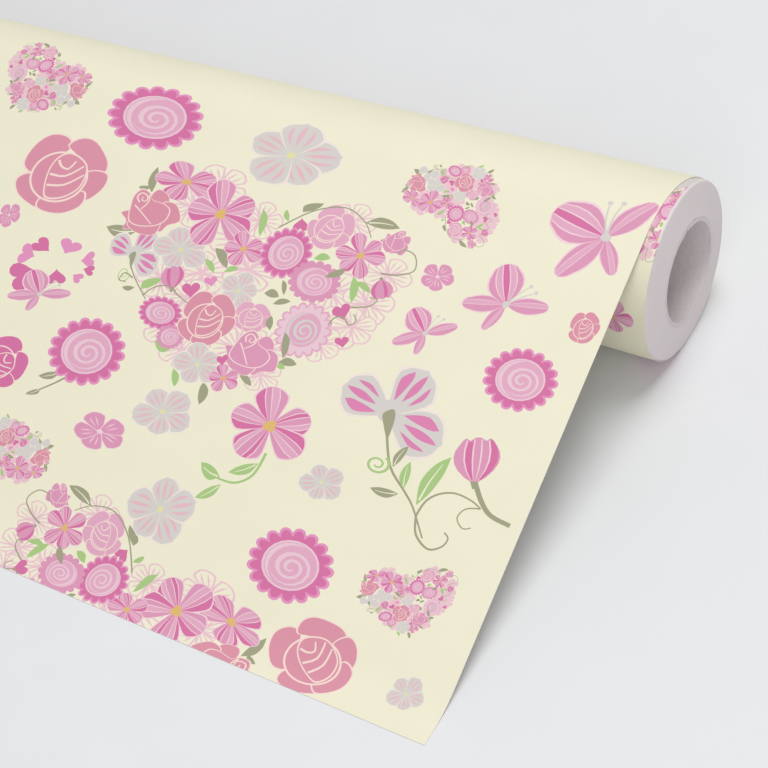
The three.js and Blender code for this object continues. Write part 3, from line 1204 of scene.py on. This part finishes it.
def fibrous(name, base, roughness, scale, contrast, bump, stretch=(1, 1, 1)):
    """A matt paper or board with fibres and a slow mottle. The base is given like an ink."""
    material, tree, shader = new_material(name)
    fibre = object_noise(tree, scale, 5, stretch)
    tone = shaded(tree, [linear(channel) for channel in base], fibre, contrast)
    tone = shaded(tree, tone, object_noise(tree, scale / 25, 2), contrast / 2)
    roughness = remapped(tree, fibre, roughness - 0.06, roughness + 0.06)
    normal = bumps(tree, fibre, bump)
    set_inputs(tree, shader, {"Base Color": tone, "Roughness": roughness, "Normal": normal})
    return material


# ---- The pieces ----

paper_face = printed_paper()
paper_back = fibrous("paper_back", (238, 236, 222), roughness=0.65, scale=1800, contrast=0.015, bump=3e-5)
paper_edge = fibrous("paper_edge", (226, 217, 218), roughness=0.8, scale=3000, contrast=0.02, bump=4e-5)
core_board = fibrous("core_board", (219, 211, 212), roughness=0.85, scale=1500, contrast=0.05, bump=6e-5,
                     stretch=(1, 0.4, 0.4))
clear_tape = fibrous("clear_tape", (230, 221, 192), roughness=0.35, scale=900, contrast=0.02, bump=2e-5)
paper = [paper_face, paper_back, paper_edge]

shapes = whole_print()

turn_lines = steps_between(TURN_FIRST, TURN_SPLIT, ROLL_STEP)
roll_lines = steps_between(TURN_SPLIT, FREE_FIRST, ROLL_STEP)
rear_lines = roll_lines[:-1] + steps_between(FREE_FIRST, REAR_END, SLOPE_STEP)
middle_lines = steps_between(REAR_END, MIDDLE_END, SLOPE_STEP)
front_lines = steps_between(MIDDLE_END, SLOPE_END, SLOPE_STEP)[:-1]
front_lines += steps_between(SLOPE_END, LANDING_END, LANDING_STEP)[:-1]
front_lines += steps_between(LANDING_END, WEB_END, FLAT_STEP)

printed_turn = sheet_piece("printed_turn", turn_lines, shapes, paper)
printed_rear = sheet_piece("printed_sheet_rear", rear_lines, shapes, paper)
printed_middle = sheet_piece("printed_sheet_middle", middle_lines, shapes, paper)
printed_front = sheet_piece("printed_sheet_front", front_lines, shapes, paper)
near_end = [(ink, outline) for ink, outline in shapes if max(p.real for p in outline) > -VISIBLE_STRIP]
windings = wound_piece(near_end, paper)
plies = [core_ply(index, core_board) for index in range(PLY_COUNT)]


def sheet_point(length):
    return Vector(on_sheet(complex(-WEB_WIDTH / 2, FREE_FIRST + length), 0)) * MM


def stands_for(piece, node):
    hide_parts(node)


bends = (
    (printed_rear, "loose_turn", "rear_panel", "sheet_rear"),
    (printed_middle, "rear_panel", "middle_panel", "sheet_middle"),
    (printed_front, "middle_panel", "front_panel", "sheet_front"),
)
for number, (piece, before, after, node) in enumerate(bends):
    start = sheet_point(max(number * PANEL_LENGTH, PEEL_LENGTH))
    end = sheet_point((number + 1) * PANEL_LENGTH)
    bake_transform(piece)
    stands_for(piece, node)
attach(printed_turn, "loose_turn")
stands_for(printed_turn, "outer_turn")

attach(windings, "roll")
stands_for(windings, "wound_paper")
for ply, node in zip(plies, ("core_inner_ply", "core_middle_ply", "core_outer_ply")):
    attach(ply, "roll")
    stands_for(ply, node)
tape = frame["nodes"]["start_tape"]
tape.data.materials.clear()
tape.data.materials.append(clear_tape)

# ---- Floor, light and camera ----


def make_floor():
    half = 3    # metres
    mesh = bpy.data.meshes.new("floor")
    corners = [(-half, -half, 0), (half, -half, 0), (half, half, 0), (-half, half, 0)]
    mesh.from_pydata(corners, [], [(0, 1, 2, 3)])
    mesh.materials.append(
        fibrous("floor", (229, 230, 232), roughness=0.6, scale=40, contrast=0.006, bump=1e-4))
    new_object("floor", mesh)


def aim(location, target):
    back = (location - target).normalized()
    return back.to_track_quat("Z", "Y").to_matrix().to_4x4()


def add_area_light(name, location, target, size, power):
    data = bpy.data.lights.new(name, "AREA")
    data.shape = "DISK"
    data.size = size
    data.energy = power
    new_object(name, data).matrix_world = Matrix.Translation(location) @ aim(location, target)


def set_world(strength):
    world = bpy.data.worlds.new("studio")
    world.use_nodes = True
    background = world.node_tree.nodes["Background"]
    set_inputs(world.node_tree, background, {"Color": (1, 1, 1, 1), "Strength": strength})
    bpy.context.scene.world = world


def add_camera():
    """The camera stands in front of the right-hand end, looks down on it and is tipped sideways."""
    foot = Vector((RIM_RIGHT, ROLL_AXIS.y, 0)) * MM
    location = foot + Vector((0.197, -0.371, 0.441))
    heading = math.radians(-42.3)
    down = math.radians(46.1)
    tip = math.radians(-15.8)
    ahead = Vector((math.sin(heading), math.cos(heading), 0))
    forward = ahead * math.cos(down) - Vector((0, 0, math.sin(down)))
    level = Vector((math.cos(heading), -math.sin(heading), 0))
    above = level.cross(forward)
    right = level * math.cos(tip) + above * math.sin(tip)
    up = above * math.cos(tip) - level * math.sin(tip)
    data = bpy.data.cameras.new("camera")
    data.sensor_width = 36
    data.lens = 83.5
    data.clip_start = 0.01
    camera = new_object("camera", data)
    turn = Matrix((right, up, -forward)).transposed().to_4x4()
    camera.matrix_world = Matrix.Translation(location) @ turn
    bpy.context.scene.camera = camera


make_floor()
add_camera()
set_world(0.38)
lit_place = Vector((0.1, 0, 0.03))
add_area_light("key", Vector((0.35, 0.45, 1.8)), lit_place, size=1.0, power=18.5)
add_area_light("fill", Vector((0.9, -1.3, 1.1)), lit_place, size=1.4, power=10)
bpy.context.scene.view_settings.view_transform = "Standard"
